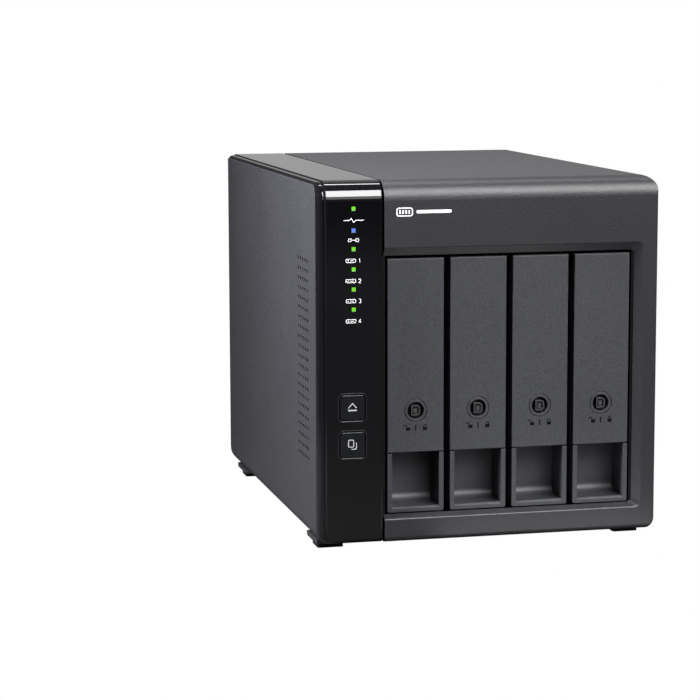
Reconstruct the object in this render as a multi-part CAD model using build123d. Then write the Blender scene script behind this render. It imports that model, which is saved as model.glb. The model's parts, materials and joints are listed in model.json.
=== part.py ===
from build123d import *
import os
from math import hypot, sqrt

# A desktop enclosure for four 3.5-inch drives, one STEP file per piece, in millimetres.
# X runs to the right, Y to the back and Z up. The origin is on the desk, under the middle.

# Driving dimensions of the case
WIDTH = 160.0
DEPTH = 219.0
HEIGHT = 168.5
WALL = 2.5
FOOT_HEIGHT = 4.2
FRONT_TOP_R = 9.0
FRONT_LOW_R = 2.5
BACK_LOW_R = 9.0
TOP_RIGHT_R = 7.0
LOW_RIGHT_R = 5.0
LOW_LEFT_R = 6.0
EDGE_R = 1.2
PANEL_EDGE_R = 0.4

RIGHT = WIDTH / 2
LEFT = -RIGHT
BACK = DEPTH / 2
FRONT = -BACK
TOP = HEIGHT
BASE = FOOT_HEIGHT

# The gloss strip and its carrier stand left of SEAM, the main shell right of it
SEAM = -49.3
STRIP_LEFT = LEFT + WALL + 0.4
STRIP_RIGHT = SEAM - 0.9
STRIP_LOW = 5.4
STRIP_THICK = 2.4
STRIP_FRONT = FRONT + 0.08
BORDER_LEFT = LEFT + 0.25
BORDER_LOW = BASE + 0.1
BORDER_DROP = 0.55
BORDER_R = 2.6
PANEL_FRONT = FRONT + 5.7
PANEL_TOP = TOP - 2.0
PANEL_FRONT_R = 5.5
LIP_RIGHT = -70.0
CARRIER_LEFT = STRIP_LEFT + 0.15
CARRIER_RIGHT = STRIP_RIGHT - 0.3
CARRIER_FRONT = FRONT + STRIP_THICK + 0.05
CARRIER_TOP = TOP - STRIP_THICK - 0.05
COLUMN_BACK = FRONT + 13.5

# Flared mouth of the drive bays in the front frame
MOUTH_DEPTH = 3.0
MOUTH_RIGHT = 72.9
MOUTH_TOP = 138.2
SILL = 16.7
SILL_FRONT = 14.8
BAY_RIGHT = 69.4
BAY_TOP = 134.6
MOUTH_BACK = FRONT + MOUTH_DEPTH
MOUTH_CORNER_R = 3.0
MOUTH_EDGE_R = 1.0

# Shallow land above the bays for a printed emblem
EMBLEM_X = -30.9
EMBLEM_Z = 154.25
EMBLEM_WIDE = 29.0
EMBLEM_TALL = 6.4
EMBLEM_DEEP = 0.06

# Trays, numbered from the left
TRAYS = 4
TRAY_PITCH = 29.45
TRAY_WIDTH = 26.37
TRAY_LEFT = -47.19
TRAY_LOW = 17.15
TRAY_TOP = 133.15
TRAY_FRONT = FRONT + 3.5
TRAY_BLOCK_BACK = TRAY_FRONT + 16.8
TRAY_TAIL = 62.0
POCKET_WALL = 2.1
POCKET_FLOOR = 19.6
POCKET_TOP = 44.2
POCKET_CEILING = 54.0
POCKET_BACK = TRAY_FRONT + 15.0
POCKET_R = 4.0
BRIGHT_BEVEL = 0.7
RAIL_INSET = 0.3

# Drive space held by each tray: a standard 3.5-inch drive on edge
DRIVE_WIDE = 101.6
DRIVE_LOW = 24.1
DRIVE_TOP = DRIVE_LOW + DRIVE_WIDE + 0.5

# Handle of each tray, hinged at its top
HANDLE_LOW = 44.9
HANDLE_THICK = 2.0
HANDLE_DEEP = 5.0
HANDLE_BACK = TRAY_FRONT + HANDLE_DEEP
PIVOT_Y = TRAY_FRONT + 5.5
PIVOT_Z = 129.2
PIN_R = 1.0
PIN_PLAY = 0.06
EYE_R = 2.2

# Lock in each handle
LOCK_Z = 63.8
RING_R = 5.2
RING_HOLE_R = 5.35
LOCK_BORE_R = 3.9
LOCK_CORE_R = 3.84

# Front buttons, square caps in the strip
BUTTON_X = -64.2
EJECT_Z = 66.8
COPY_Z = 49.9
BUTTON_WIDE = 11.6
BUTTON_TALL = 11.45
BUTTON_R = 1.6
BUTTON_GAP = 0.32
BOARD_FRONT = COLUMN_BACK - 3.6

# Indicator lenses: status, link and one per drive
LENS_X = -63.5
LENS_Z = (156.3, 146.6, 138.3, 129.25, 120.25, 111.2)
LINK_LENS = 1
LENS_WIDE = 1.75
LENS_TALL = 1.7

# Vent field in the left panel
VENT_ROWS = 21
VENT_COLUMNS = 5
VENT_TOP_Z = 131.0
VENT_PITCH_Z = 4.53
VENT_FRONT_Y = -87.9
VENT_PITCH_Y = 4.85
VENT_LONG = 2.6
VENT_TALL = 1.9

# Drive cage
CAGE_SHEET = 1.2
CAGE_LEFT = -49.5
CAGE_RIGHT = 69.5
CAGE_LOW = 13.9
CAGE_TOP = 138.4
CAGE_FRONT = MOUTH_BACK + 0.4
CAGE_BACK = 68.0
GUIDE_FRONT = -86.0
GUIDE_WIDE = 2.0

# Back of the case, open above REAR_LOW for the rear panel
REAR_LOW = BASE + BACK_LOW_R + 0.1
REAR_SHEET = 1.2
REAR_FACE = BACK - 1.5
REAR_INNER = REAR_FACE - REAR_SHEET
FAN_X = 14.0
FAN_Z = 85.0
FAN_SIZE = 120.0
FAN_DEEP = 25.0
FAN_HOLES = 105.0
FAN_BORE_R = 58.5
BLADE_TIP_R = 57.2
BLADES = 7
HUB_R = 20.5
SHAFT_R = 1.5
FAN_FRONT = REAR_INNER - FAN_DEEP
SCREW_R = 1.6

# Main board and what it carries at the back
IO_X = -63.0
BOARD_THICK = 1.6
MAIN_BOARD_X = -57.6
POWER_Z = 146.0
SET_Z = 127.0
DIP_Z = 108.0
USB_Z = 84.0
JACK_Z = 44.0
LOCK_SLOT_Z = 27.0
DIP_PITCH = 2.8
DIP_SLIDERS = 3
LUG = 9.0

# Feet
FOOT_X = 71.2
FOOT_FRONT_Y = -88.7
FOOT_BACK_Y = 85.2
PAD_HEIGHT = 2.0
PAD_SIZE = 12.0


# ---------------------------------------------------------------- drawing helpers


def block(x0, x1, y0, y1, z0, z1):
    """A rectangular block between two corners."""
    centre = Pos((x0 + x1) / 2, (y0 + y1) / 2, (z0 + z1) / 2)
    return centre * Box(x1 - x0, y1 - y0, z1 - z0)


def bar_x(y, z, radius, x0, x1):
    """A round bar along X."""
    return Pos((x0 + x1) / 2, y, z) * Rot(0, 90, 0) * Cylinder(radius, x1 - x0)


def bar_y(x, z, radius, y0, y1):
    """A round bar along Y."""
    return Pos(x, (y0 + y1) / 2, z) * Rot(90, 0, 0) * Cylinder(radius, y1 - y0)


def outline(*corners):
    """A flat face from (u, v, corner radius) triples."""
    face = make_face(Polyline([(u, v) for u, v, _ in corners], close=True))
    for u, v, radius in corners:
        if radius > 0:
            face = fillet(face.vertices().sort_by_distance((u, v, 0))[0], radius)
    return face


def prism_y(face, y0, y1):
    """Extrudes a face drawn in X and Z from one Y plane to another."""
    plane = Plane(origin=(0, y0, 0), x_dir=(1, 0, 0), z_dir=(0, -1, 0))
    return extrude(plane * face, amount=y1 - y0, dir=(0, 1, 0))


def prism_x(face, x0, x1):
    """Extrudes a face drawn in Y and Z from one X plane to another."""
    plane = Plane(origin=(x0, 0, 0), x_dir=(0, 1, 0), z_dir=(1, 0, 0))
    return extrude(plane * face, amount=x1 - x0)


def edges_at(part, *points):
    """The edge of a part nearest each point."""
    return [part.edges().sort_by_distance(point)[0] for point in points]


def combine(parts):
    """One shape from a list of parts."""
    total = parts[0]
    for part in parts[1:]:
        total += part
    return total


def group(parts):
    """Separate solids kept side by side in one node."""
    return Compound(children=[solid for part in parts for solid in part.solids()])


def tray_x(number):
    """Left edge of a tray, counted from 0."""
    return TRAY_LEFT + number * TRAY_PITCH


# ---------------------------------------------------------------- casings


def side_profile(inset):
    """The case seen from the side, inset by a wall; an inset one is open at the back."""
    corners = [(FRONT + inset, TOP - inset, FRONT_TOP_R - inset)]
    if inset:
        corners += [(BACK + WALL, TOP - inset, 0), (BACK + WALL, REAR_LOW, 0), (BACK - inset, REAR_LOW, 0)]
    else:
        corners.append((BACK, TOP, 0))
    corners.append((BACK - inset, BASE + inset, BACK_LOW_R - inset))
    corners.append((FRONT + inset, BASE + inset, 0 if inset else FRONT_LOW_R))
    return outline(*corners)


def bay_mouth():
    """The cut for the mouth of the drive bays, flared at its top, right and bottom."""
    sections = []
    for step in (-0.25, 1.25):
        y = FRONT + MOUTH_DEPTH * step
        right = MOUTH_RIGHT + (BAY_RIGHT - MOUTH_RIGHT) * step
        top = MOUTH_TOP + (BAY_TOP - MOUTH_TOP) * step
        low = SILL_FRONT + (SILL - SILL_FRONT) * step
        left = SEAM - 2 * WALL
        plane = Plane(origin=(0, y, 0), x_dir=(1, 0, 0), z_dir=(0, -1, 0))
        corners = [(left, low), (right, low), (right, top), (left, top)]
        sections.append(plane * make_face(Polyline(corners, close=True)))
    mouth = loft(sections, ruled=True)
    corners = ((BAY_RIGHT, MOUTH_BACK, SILL), (BAY_RIGHT, MOUTH_BACK, BAY_TOP))
    return fillet(edges_at(mouth, *corners), MOUTH_CORNER_R)


def rear_lugs():
    """Screw lugs inside the back corners of the shell."""
    low = BASE + WALL
    high = TOP - WALL
    spots = [(RIGHT - WALL - LUG, high - LUG), (RIGHT - WALL - LUG, low), (-66.0, low)]
    lugs = []
    for x, z in spots:
        lug = block(x, x + LUG, REAR_INNER - LUG, REAR_INNER, z, z + LUG)
        lugs.append(lug - bar_y(*lug_centre(x, z), SCREW_R, REAR_INNER - LUG, BACK))
    return lugs


def lug_centre(x, z):
    """Screw axis of a lug whose low corner is given, kept above the rear panel's edge."""
    return x + LUG / 2, max(z + LUG / 2, REAR_LOW + 3.3)


def main_shell():
    """Top, right side, base and front frame in one moulding, open to the left and the back."""
    ends = (FRONT, BACK)
    outer_face = outline(
        (SEAM, TOP, 0), (RIGHT, TOP, TOP_RIGHT_R), (RIGHT, BASE, LOW_RIGHT_R), (SEAM, BASE, 0)
    )
    outer = prism_y(outer_face, *ends)
    outer = fillet(edges_at(outer, (RIGHT, FRONT, HEIGHT / 2)), EDGE_R)
    outer &= prism_x(side_profile(0), SEAM, RIGHT)
    inner_face = outline(
        (SEAM - WALL, TOP - WALL, 0),
        (RIGHT - WALL, TOP - WALL, TOP_RIGHT_R - WALL),
        (RIGHT - WALL, BASE + WALL, LOW_RIGHT_R - WALL),
        (SEAM - WALL, BASE + WALL, 0),
    )
    cavity = prism_y(inner_face, FRONT, BACK + WALL)
    cavity &= prism_x(side_profile(WALL), SEAM - WALL, RIGHT)
    shell = outer - cavity
    floor = prism_x(side_profile(0), LIP_RIGHT + 0.1, SEAM)
    floor -= prism_x(side_profile(WALL), LIP_RIGHT, SEAM)
    floor &= block(LIP_RIGHT, SEAM, PANEL_FRONT, BACK, BASE, REAR_LOW)
    rim = block(SEAM, MOUTH_RIGHT + 0.8, FRONT + WALL / 2, MOUTH_BACK, SILL - WALL, MOUTH_TOP + WALL)
    land = Pos(EMBLEM_X, EMBLEM_Z) * Rectangle(EMBLEM_WIDE, EMBLEM_TALL)
    shell = shell + floor + rim - bay_mouth()
    middle = (BAY_RIGHT + SEAM) / 2
    around = ((middle, FRONT, SILL_FRONT), (MOUTH_RIGHT, FRONT, HEIGHT / 2), (middle, FRONT, MOUTH_TOP))
    edge = edges_at(shell, *around)
    edge += edges_at(shell, (MOUTH_RIGHT - 1, FRONT, SILL_FRONT + 1), (MOUTH_RIGHT - 1, FRONT, MOUTH_TOP - 1))
    shell = fillet(edge, MOUTH_EDGE_R)
    return shell - prism_y(land, FRONT - 1, FRONT + EMBLEM_DEEP) + combine(rear_lugs())


def left_side_panel():
    """Left side with a rounded lower edge turned under the case, and a field of vent slots."""
    face = outline((LEFT, TOP, 0), (LEFT, BASE, LOW_LEFT_R), (LIP_RIGHT, BASE, 0), (LIP_RIGHT, TOP, 0))
    corners = (
        (PANEL_FRONT, PANEL_TOP, PANEL_FRONT_R),
        (BACK, PANEL_TOP, 0),
        (BACK, BASE, BACK_LOW_R),
        (PANEL_FRONT, BASE, 0),
    )
    outer = prism_y(face, PANEL_FRONT, BACK) & prism_x(outline(*corners), LEFT, LIP_RIGHT)
    outer = fillet(edges_at(outer, (LEFT, PANEL_FRONT, HEIGHT / 2)), PANEL_EDGE_R)
    inner_left = LEFT + WALL
    inner_face = outline(
        (inner_left, TOP + WALL, 0),
        (inner_left, BASE + WALL, LOW_LEFT_R - WALL),
        (LIP_RIGHT + WALL, BASE + WALL, 0),
        (LIP_RIGHT + WALL, TOP + WALL, 0),
    )
    inner_corners = (
        (PANEL_FRONT - WALL, TOP + WALL, 0),
        (BACK + WALL, TOP + WALL, 0),
        (BACK + WALL, REAR_LOW, 0),
        (BACK - WALL, REAR_LOW, 0),
        (BACK - WALL, BASE + WALL, BACK_LOW_R - WALL),
        (PANEL_FRONT - WALL, BASE + WALL, 0),
    )
    cavity = prism_y(inner_face, PANEL_FRONT - WALL, BACK + WALL)
    cavity &= prism_x(outline(*inner_corners), inner_left, LIP_RIGHT + WALL)
    return outer - cavity - vent_field()


def vent_field():
    """Cuts for the rows of short slots near the front of the left panel."""
    rows = VENT_TOP_Z - VENT_PITCH_Z * (VENT_ROWS - 1) / 2
    columns = VENT_FRONT_Y + VENT_PITCH_Y * (VENT_COLUMNS - 1) / 2
    grid = GridLocations(VENT_PITCH_Y, VENT_PITCH_Z, VENT_COLUMNS, VENT_ROWS)
    slots = Pos(columns, rows) * grid * SlotOverall(VENT_LONG, VENT_TALL)
    return prism_x(Sketch() + slots, LEFT - 1, LEFT + WALL + 1)


def button_cut(z, extra):
    """The outline of a front button's hole, grown by a clearance."""
    shape = RectangleRounded(BUTTON_WIDE + 2 * extra, BUTTON_TALL + 2 * extra, BUTTON_R + extra)
    return Pos(BUTTON_X, z) * shape


def gloss_strip():
    """Gloss cover that wraps from the front over the top, with a bevelled face and a round border."""
    inside_r = FRONT_TOP_R - STRIP_THICK
    corners = (
        (STRIP_FRONT, STRIP_LOW, 0),
        (STRIP_FRONT, TOP, FRONT_TOP_R),
        (BACK, TOP, 0),
        (BACK, TOP - STRIP_THICK, 0),
        (FRONT + STRIP_THICK, TOP - STRIP_THICK, inside_r),
        (FRONT + STRIP_THICK, STRIP_LOW, 0),
    )
    strip = prism_x(outline(*corners), STRIP_LEFT, STRIP_RIGHT)
    strip = fillet(edges_at(strip, (STRIP_LEFT, FRONT + STRIP_THICK / 2, STRIP_LOW)), LOW_LEFT_R - 1)
    mid = HEIGHT / 2
    strip = chamfer(edges_at(strip, (STRIP_LEFT, STRIP_FRONT, mid)), 0.9, 1.1)
    strip = chamfer(edges_at(strip, (STRIP_RIGHT, STRIP_FRONT, mid)), 0.4, 0.5)
    strip += strip_border()
    holes = [prism_y(button_cut(z, BUTTON_GAP), FRONT - 1, FRONT + 4) for z in (EJECT_Z, COPY_Z)]
    for z in LENS_Z:
        gap = 0.06
        square = Pos(LENS_X, z) * Rectangle(LENS_WIDE + gap, LENS_TALL + gap)
        holes.append(prism_y(square, FRONT - 1, FRONT + 4))
    return strip - combine(holes)


def strip_border():
    """Round border of the strip: down its left side, under it, and along the left of the top."""
    front = STRIP_FRONT + BORDER_DROP
    top = TOP - BORDER_DROP
    corners = (
        (front, BORDER_LOW, 0),
        (front, top, FRONT_TOP_R - BORDER_DROP),
        (BACK - 0.2, top, 0),
        (BACK - 0.2, BORDER_LOW, 0),
    )
    border = prism_x(outline(*corners), BORDER_LEFT, STRIP_RIGHT)
    border = fillet(edges_at(border, (BORDER_LEFT, 0, BORDER_LOW)), LOW_LEFT_R - 0.25)
    border = fillet(edges_at(border, (BORDER_LEFT, front, HEIGHT / 2)), BORDER_R)
    bite = 0.05
    inside = block(STRIP_LEFT + bite, RIGHT, FRONT - 1, BACK + 1, STRIP_LOW + bite, TOP + 1)
    inside = fillet(edges_at(inside, (STRIP_LEFT + bite, 0, STRIP_LOW + bite)), LOW_LEFT_R - 1 - bite)
    gap = 0.1
    side = outline(
        (PANEL_FRONT - gap, PANEL_TOP + gap, PANEL_FRONT_R + gap),
        (BACK + 1, PANEL_TOP + gap, 0),
        (BACK + 1, BASE - 1, 0),
        (PANEL_FRONT - gap, BASE - 1, 0),
    )
    return border - inside - prism_x(side, LEFT - 1, RIGHT)


def low_left_corner(y0, y1, z):
    """What is cut off the carrier's lower left edge to round it."""
    radius = LOW_LEFT_R - 1.5
    x = CARRIER_LEFT
    square = block(x - 1, x + radius, y0, y1, z - 1, z + radius)
    return square - bar_y(x + radius, z + radius, radius, y0 - 1, y1 + 1)


def bezel_frame():
    """Black carrier behind the strip: a hollow column at the front and a bar along the top."""
    bar_low = CARRIER_TOP - WALL
    toe, heel = STRIP_LOW + 0.4, BASE + WALL + 0.1
    corners = (
        (CARRIER_FRONT, toe, 1.0),
        (CARRIER_FRONT, CARRIER_TOP, FRONT_TOP_R - STRIP_THICK),
        (REAR_INNER - 0.2, CARRIER_TOP, 0),
        (REAR_INNER - 0.2, bar_low, 0),
        (COLUMN_BACK, bar_low, 0),
        (COLUMN_BACK, heel, 0),
        (PANEL_FRONT - 0.1, heel, 0),
        (PANEL_FRONT - 0.1, toe, 0),
    )
    frame = prism_x(outline(*corners), CARRIER_LEFT, CARRIER_RIGHT)
    frame -= low_left_corner(CARRIER_FRONT - 1, PANEL_FRONT - 0.1, toe)
    frame -= low_left_corner(PANEL_FRONT - 0.1, COLUMN_BACK + 1, heel)
    wall = 1.9
    front_wall = CARRIER_FRONT + 1.3
    frame -= block(
        CARRIER_LEFT + wall, CARRIER_RIGHT - wall, front_wall, COLUMN_BACK + 1, heel + wall, 160.0
    )
    frame += block(CARRIER_RIGHT, SEAM + 3, COLUMN_BACK, REAR_INNER - 0.2, bar_low, TOP - WALL - 0.1)
    lug_x = LIP_RIGHT - 1
    lug = block(lug_x, lug_x + LUG, REAR_INNER - LUG, REAR_INNER - 0.2, bar_low - LUG, bar_low)
    frame += lug - bar_y(lug_x + LUG / 2, bar_low - LUG / 2, SCREW_R, REAR_INNER - LUG, BACK)
    for z in (EJECT_Z, COPY_Z):
        frame -= prism_y(button_cut(z, 1.4), CARRIER_FRONT - 1, front_wall + 1)
    for z in LENS_Z:
        frame -= block(LENS_X - 1.5, LENS_X + 1.5, CARRIER_FRONT - 1, front_wall + 1, z - 1.5, z + 1.5)
    for x, z in BOARD_SCREWS:
        boss = bar_y(x, z, 2.6, front_wall - 0.2, BOARD_FRONT)
        frame += boss - bar_y(x, z, 0.9, front_wall + 0.4, BOARD_FRONT + 1)
    return frame


# Screws that hold the indicator board to the bosses of the carrier
BOARD_SCREWS = ((-71.6, 134.0), (-56.2, 96.0), (-71.6, 38.0))


# ---------------------------------------------------------------- buttons and indicators


def front_button(z):
    """A square cap with a retaining flange and a stem at its back."""
    face = STRIP_FRONT + 0.06
    cap = prism_y(button_cut(z, 0), face, FRONT + 3.5)
    cap = chamfer(edges_at(cap, (BUTTON_X, face, z + BUTTON_TALL / 2)), 0.25)
    flange = prism_y(button_cut(z, 0.8), FRONT + 2.8, FRONT + 3.6)
    stem = block(BUTTON_X - 2, BUTTON_X + 2, FRONT + 3.6, FRONT + 4.3, z - 2, z + 2)
    return cap + flange + stem


def indicator_board():
    """Narrow circuit board behind the strip."""
    board = block(-74.8, -53.2, BOARD_FRONT, BOARD_FRONT + BOARD_THICK, 31.5, 159.4)
    for x, z in BOARD_SCREWS:
        board -= bar_y(x, z, 1.2, BOARD_FRONT - 1, BOARD_FRONT + 3)
    return board


def lenses(heights):
    """Light pipes from the strip back to the indicator board."""
    pipes = []
    for z in heights:
        pipes.append(
            block(
                LENS_X - LENS_WIDE / 2,
                LENS_X + LENS_WIDE / 2,
                STRIP_FRONT + 0.02,
                BOARD_FRONT - 1.1,
                z - LENS_TALL / 2,
                z + LENS_TALL / 2,
            )
        )
    return group(pipes)


def led_chips():
    """One light source on the board behind each light pipe."""
    chips = [
        block(LENS_X - 0.8, LENS_X + 0.8, BOARD_FRONT - 0.7, BOARD_FRONT, z - 0.6, z + 0.6) for z in LENS_Z
    ]
    return group(chips)


def tact_switches():
    """Push switches behind the front buttons and the back buttons."""
    body_deep = 3.5
    switches = []
    for z in (EJECT_Z, COPY_Z):
        body = block(
            BUTTON_X - 3, BUTTON_X + 3, BOARD_FRONT - body_deep, BOARD_FRONT, z - 3, z + 3
        )
        plunger_front = FRONT + 4.3 + 1.3
        switches.append(body + bar_y(BUTTON_X, z, 1.7, plunger_front, BOARD_FRONT - 3))
    for z in (POWER_Z, SET_Z):
        body = block(IO_X - 3, MAIN_BOARD_X, SWITCH_BACK - body_deep, SWITCH_BACK, z - 3, z + 3)
        switches.append(body + bar_y(IO_X, z, 1.7, SWITCH_BACK - 1, STEM_END - 1.3))
    return group(switches)


# Stems of the back buttons end here, in front of their switches
STEM_END = REAR_INNER - 4.4
SWITCH_BACK = STEM_END - 1.7


def back_button(z, radius, stand_out):
    """A round cap in the rear panel with a flange and a stem towards its switch."""
    cap = bar_y(IO_X, z, radius, REAR_INNER - 1.8, REAR_FACE + stand_out)
    rim = edges_at(cap, (IO_X, REAR_FACE + stand_out, z + radius))
    cap = fillet(rim, 0.35)
    flange = bar_y(IO_X, z, radius + 1.1, REAR_INNER - 1.8, REAR_INNER - 0.6)
    return cap + flange + bar_y(IO_X, z, 1.4, STEM_END, REAR_INNER - 1.7)


# ---------------------------------------------------------------- trays


def tray_front(number):
    """Front moulding of a tray, with a finger pocket and the ears of the handle's hinge."""
    x = tray_x(number)
    right = x + TRAY_WIDTH
    step_back = PIVOT_Y + 4.4
    inner_top = PIVOT_Z - 0.6
    wall_front = HANDLE_BACK + 0.4
    front = block(x, right, TRAY_FRONT, TRAY_BLOCK_BACK, TRAY_LOW, POCKET_TOP)
    front = fillet(edges_at(front, *[(side, TRAY_FRONT + 5, TRAY_LOW) for side in (x, right)]), 0.8)
    front += block(x, right, wall_front, TRAY_BLOCK_BACK, POCKET_TOP, inner_top)
    front += block(x, right, step_back, TRAY_BLOCK_BACK, inner_top - 2, TRAY_TOP - 0.3)
    front -= finger_pocket(x, right)
    inside = (x + 4.4, right - 4.4)
    front -= block(*inside, TRAY_FRONT, TRAY_BLOCK_BACK - 3.6, POCKET_CEILING + 2, LOCK_Z + 9)
    inside = (x + 3, right - 3)
    front -= block(*inside, HANDLE_BACK + 2.6, TRAY_BLOCK_BACK + 1, LOCK_Z + 11, TRAY_TOP - 9)
    for ear_x in (x + 2.4, right - 4.6):
        front += hinge_ear(ear_x, inner_top)
    for cheek in (x - 1, right - 2.1):
        front -= bar_x(PIVOT_Y, PIVOT_Z, EYE_R + 0.4, cheek, cheek + 3.1)
    return front - bar_x(PIVOT_Y, PIVOT_Z, PIN_R, x - 1, right + 1)


def tray_carrier(number):
    """Carrier behind a tray's front: a rail above and below the drive, and a floor beside it."""
    x = tray_x(number)
    rail = (x + RAIL_INSET, x + TRAY_WIDTH - RAIL_INSET, TRAY_BLOCK_BACK, TRAY_TAIL)
    carrier = block(*rail, TRAY_LOW + 0.4, DRIVE_LOW)
    carrier += block(*rail, DRIVE_TOP, TRAY_TOP - 0.6)
    return carrier + drive_floor(x)


def finger_pocket(x, right):
    """The hollow under the handle, rounded where its floor meets its back."""
    corners = (
        (TRAY_FRONT - 1, POCKET_FLOOR, 0),
        (POCKET_BACK, POCKET_FLOOR, POCKET_R),
        (POCKET_BACK, POCKET_CEILING, 1.0),
        (TRAY_FRONT - 1, POCKET_CEILING, 0),
    )
    pocket = prism_x(outline(*corners), x + POCKET_WALL, right - POCKET_WALL)
    lip = outline(
        (TRAY_FRONT - 1, POCKET_FLOOR + 0.1, 0),
        (TRAY_FRONT - 1, POCKET_FLOOR - BRIGHT_BEVEL - 1, 0),
        (TRAY_FRONT + BRIGHT_BEVEL + 0.1, POCKET_FLOOR + 0.1, 0),
    )
    return pocket + prism_x(lip, x + POCKET_WALL, right - POCKET_WALL)


def hinge_ear(x, wall_top):
    """An ear that carries the handle's pin in front of the tray wall."""
    ear_r = 2.2
    root = block(x, x + 2.2, PIVOT_Y, PIVOT_Y + 4.0, wall_top - 8, wall_top - 0.2)
    return bar_x(PIVOT_Y, PIVOT_Z, ear_r, x, x + 2.2) + root


def drive_floor(x):
    """Thin plate beside the drive, with air windows and four drive screw holes."""
    plate = block(x - 0.7, x + 0.7, TRAY_BLOCK_BACK, 55.0, DRIVE_LOW - 2, DRIVE_TOP + 2)
    mid = (DRIVE_LOW + DRIVE_TOP) / 2
    for y in (-63.0, -37.0, -11.0, 15.0, 41.0):
        window = Pos(y, mid) * RectangleRounded(16.0, 84.0, 4.0)
        plate -= prism_x(window, x - 2, x + 1)
    for y, z in DRIVE_SCREWS:
        plate -= bar_x(y, z, DRIVE_SCREW_R, x - 2, x + 2)
    return plate


# Screw holes of a 2.5-inch drive, 76.6 by 61.72 mm apart, on the floor of each tray
DRIVE_SCREW_R = 1.75
DRIVE_SCREWS = [(y, 75.15 + dz) for y in (-76.0, 0.6) for dz in (-30.86, 30.86)]


def tray_handle(number):
    """Hollow lever over the front of a tray, with pin eyes at its top and a lock boss."""
    x = tray_x(number)
    right = x + TRAY_WIDTH
    side = 1.6
    top_wall = 1.2
    plate = block(x, right, TRAY_FRONT, HANDLE_BACK, HANDLE_LOW, TRAY_TOP)
    plate = chamfer(edges_at(plate, (x + 5, TRAY_FRONT, TRAY_TOP)), 0.5)
    uprights = edges_at(plate, (x, TRAY_FRONT, 90), (right, TRAY_FRONT, 90))
    plate = chamfer(uprights, 0.25)
    plate -= block(
        x + side, right - side, TRAY_FRONT + HANDLE_THICK, HANDLE_BACK + 1, HANDLE_LOW + side,
        TRAY_TOP - top_wall,
    )
    for eye_x in (x, right - side):
        plate += bar_x(PIVOT_Y, PIVOT_Z, EYE_R, eye_x, eye_x + side)
    for rib_z in (80.0, 96.0, 112.0):
        plate += block(x + 1, right - 1, TRAY_FRONT + 1, HANDLE_BACK - 1.2, rib_z, rib_z + 1.4)
    centre = x + TRAY_WIDTH / 2
    plate += bar_y(centre, LOCK_Z, RING_HOLE_R + 1.5, TRAY_FRONT + 1, HANDLE_BACK)
    plate -= bar_y(centre, LOCK_Z, RING_HOLE_R, TRAY_FRONT - 1, HANDLE_BACK + 1)
    return plate - bar_x(PIVOT_Y, PIVOT_Z, PIN_R + PIN_PLAY, x + 0.5, right - 0.5)


def handle_pin(number):
    """Hinge pin, fixed in the tray's ears and turning in the handle's eyes."""
    x = tray_x(number)
    return bar_x(PIVOT_Y, PIVOT_Z, PIN_R, x + 0.6, x + TRAY_WIDTH - 0.6)


def lock_ring(number):
    """Round sleeve of the lock, flush with the handle."""
    centre = tray_x(number) + TRAY_WIDTH / 2
    sleeve = bar_y(centre, LOCK_Z, RING_R, TRAY_FRONT + 0.05, HANDLE_BACK)
    sleeve = chamfer(edges_at(sleeve, (centre, TRAY_FRONT + 0.05, LOCK_Z + RING_R)), 0.3)
    return sleeve - bar_y(centre, LOCK_Z, LOCK_BORE_R, TRAY_FRONT - 1, HANDLE_BACK + 1)


def lock_core(number):
    """Turning core with a hollow key post at the front and a latch tongue at the back."""
    centre = tray_x(number) + TRAY_WIDTH / 2
    floor = TRAY_FRONT + 3.0
    core = bar_y(centre, LOCK_Z, LOCK_CORE_R, floor, HANDLE_BACK + 1.4)
    half = 2.1
    post = outline(
        (centre - 1.95, LOCK_Z - half, 0.4),
        (centre + 1.95, LOCK_Z - half, 1.3),
        (centre + 1.95, LOCK_Z + half, 1.3),
        (centre - 1.95, LOCK_Z + half, 0.4),
    )
    core += prism_y(post, TRAY_FRONT + 0.5, floor + 0.5)
    keyway = Pos(centre + 0.2, LOCK_Z) * RectangleRounded(2.1, 2.5, 0.5)
    core -= prism_y(keyway, TRAY_FRONT, TRAY_FRONT + 2.3)
    tongue = block(centre - 1.6, centre + 1.6, HANDLE_BACK + 0.6, HANDLE_BACK + 2.0, LOCK_Z - 2, LOCK_Z + 6.4)
    return core + tongue


# ---------------------------------------------------------------- cage and boards


def cage_side(x):
    """Upright sheet beside the drives, with air windows."""
    sheet = block(x, x + CAGE_SHEET, CAGE_FRONT, CAGE_BACK, CAGE_LOW, CAGE_TOP)
    for y in (-76.0, -48.0, -20.0, 8.0, 36.0):
        window = Pos(y, (CAGE_LOW + CAGE_TOP) / 2) * RectangleRounded(20.0, 80.0, 4.0)
        sheet -= prism_x(window, x - 1, x + CAGE_SHEET + 1)
    return sheet


def cage_plate(z):
    """Level sheet above or below the drives."""
    return block(
        CAGE_LEFT + CAGE_SHEET, CAGE_RIGHT - CAGE_SHEET, CAGE_FRONT, CAGE_BACK, z, z + CAGE_SHEET
    )


def guide_rails():
    """Ribs above and below the gaps between the trays that keep them upright."""
    ribs = []
    half = GUIDE_WIDE / 2
    for number in range(1, TRAYS):
        middle = tray_x(number) - (TRAY_PITCH - TRAY_WIDTH) / 2
        for z0, z1 in ((CAGE_LOW + CAGE_SHEET, 21.0), (129.5, CAGE_TOP - CAGE_SHEET)):
            ribs.append(block(middle - half, middle + half, GUIDE_FRONT, TRAY_TAIL, z0, z1))
    return group(ribs)


def backplane_board():
    """Circuit board across the back of the cage, with air slots between the drives."""
    y = BACKPLANE_Y
    board = block(CAGE_LEFT + 2, CAGE_RIGHT - 2, y, y + BOARD_THICK, CAGE_LOW + 2, CAGE_TOP - 2)
    for number in range(TRAYS):
        slot = Pos(tray_x(number) + 18.5, 88.0) * RectangleRounded(9.0, 76.0, 3.0)
        board -= prism_y(slot, y - 1, y + 3)
    return board


BACKPLANE_Y = 66.0


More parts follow.
